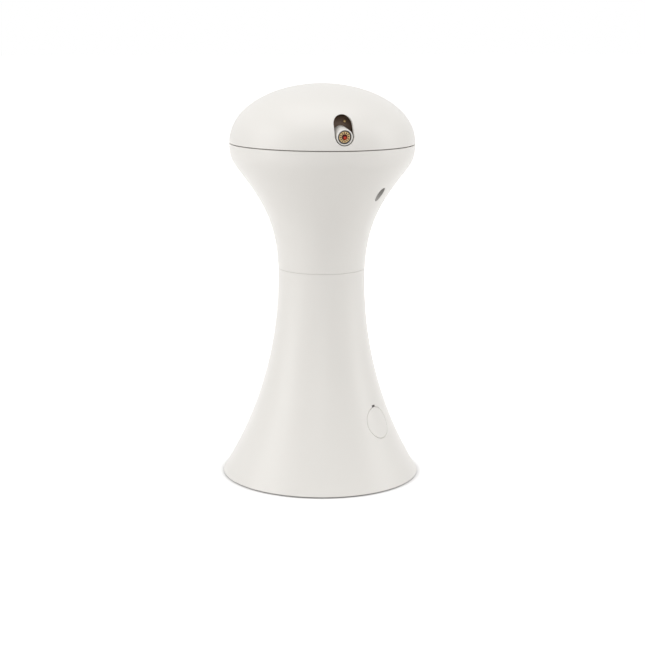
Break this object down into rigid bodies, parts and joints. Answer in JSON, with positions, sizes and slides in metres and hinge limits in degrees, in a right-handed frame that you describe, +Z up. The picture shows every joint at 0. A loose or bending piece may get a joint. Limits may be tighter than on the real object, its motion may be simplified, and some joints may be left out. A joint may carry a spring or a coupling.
{
  "type": "automatic pet laser pointer toy",
  "caption": "White tower-shaped pet toy with a bell foot, a narrow waist, a turning domed cap with tilting light barrels in slots, and a push button on the foot.",
  "frame": {"origin": "centre of the foot on the floor, under the rubber feet", "axes": "+Z up along the tower; -Y the way the front light barrel points; the button is 42 degrees from -Y towards +X"},
  "size_m": [0.0962, 0.0962, 0.1906],
  "materials": {
    "shell": "satin moulded",
    "barrel": "satin moulded",
    "foot_rubber": "matte",
    "screw_steel": "zinc plated",
    "cell_sleeve": "printed sleeve left plain",
    "spring_steel": "nickel plated",
    "switch_black": "matte",
    "board": "solder mask",
    "window": "smoked",
    "natural_nylon": "matte",
    "bush_brass": "machined",
    "module_brass": "machined",
    "lens": "polished",
    "can_steel": "plated",
    "rotor_copper": "wound",
    "turntable": "moulded",
    "wire": "insulated"
  },
  "bodies": {
    "stand": {"lower_shell": "shell", "upper_shell": "shell", "base_plate": "shell", "rubber_feet": "foot_rubber", "base_screws": "screw_steel", "battery_cells": "cell_sleeve", "battery_springs": "spring_steel", "battery_contacts": "spring_steel", "button_spring": "spring_steel", "tact_switch": "switch_black", "main_board": "board", "board_screws": "screw_steel", "status_window": "window", "neck_screws": "screw_steel", "deck_plate": "natural_nylon", "deck_screws": "screw_steel", "bearing_bush": "bush_brass", "motor_can": "can_steel", "motor_magnets": "switch_black", "motor_endcap": "natural_nylon", "motor_screws": "screw_steel", "gear_axle": "can_steel", "brush_block": "switch_black", "contact_brushes": "rotor_copper", "battery_wires": "wire", "motor_wires": "wire", "brush_wires": "wire"},
    "door": {"battery_door": "shell", "door_screw": "screw_steel"},
    "button": {"power_button": "shell", "switch_plunger": "switch_black"},
    "rotor": {"motor_rotor": "rotor_copper", "motor_pinion": "bush_brass"},
    "reduction": {"reduction_gear": "natural_nylon"},
    "head": {"drive_gear": "natural_nylon", "spindle": "can_steel", "retaining_clip": "spring_steel", "slip_ring_disc": "board", "slip_ring_tracks": "bush_brass", "turntable_plate": "turntable", "cap_dome": "shell", "cap_screws": "screw_steel", "laser_wires": "wire"},
    "laser_front": {"laser_barrel_front": "barrel", "laser_module_front": "module_brass", "laser_lens_front": "lens", "laser_board_front": "board", "barrel_shield_front": "turntable"},
    "laser_rear": {"laser_barrel_rear": "barrel", "laser_module_rear": "module_brass", "laser_lens_rear": "lens", "laser_board_rear": "board", "barrel_shield_rear": "turntable"}
  },
  "joints": [
    {"name": "cap_spin", "type": "hinge", "parent": "stand", "child": "head", "pos_m": [0, 0, 0.156], "axis": [0, 0, 1], "continuous": true},
    {"name": "reduction_spin", "type": "hinge", "parent": "stand", "child": "reduction", "pos_m": [-0.00012, 0.018, 0.156], "axis": [0, 0, 1], "continuous": true},
    {"name": "motor_spin", "type": "hinge", "parent": "stand", "child": "rotor", "pos_m": [0.00966, 0.0087, 0.15], "axis": [0, 0, 1], "continuous": true},
    {"name": "laser_front_tilt", "type": "hinge", "parent": "head", "child": "laser_front", "pos_m": [0, -0.024, 0.1706], "axis": [-1, 0, 0], "range_deg": [0, 16]},
    {"name": "laser_rear_tilt", "type": "hinge", "parent": "head", "child": "laser_rear", "pos_m": [0, 0.024, 0.1706], "axis": [1, 0, 0], "range_deg": [0, 16]},
    {"name": "button_press", "type": "slide", "parent": "stand", "child": "button", "axis": [-0.6242, 0.6932, -0.3604], "range_m": [0, 0.0008], "stiffness_N_per_m": 600, "deforming": ["button_spring"]},
    {"name": "door_swing", "type": "hinge", "parent": "stand", "child": "door", "pos_m": [-0.025, 0, 0.002], "axis": [0, 1, 0], "range_deg": [0, 80]}
  ],
  "couplings": [
    {"joint": "reduction_spin", "follows": "cap_spin", "ratio": -5},
    {"joint": "motor_spin", "follows": "cap_spin", "ratio": 17.5}
  ]
}
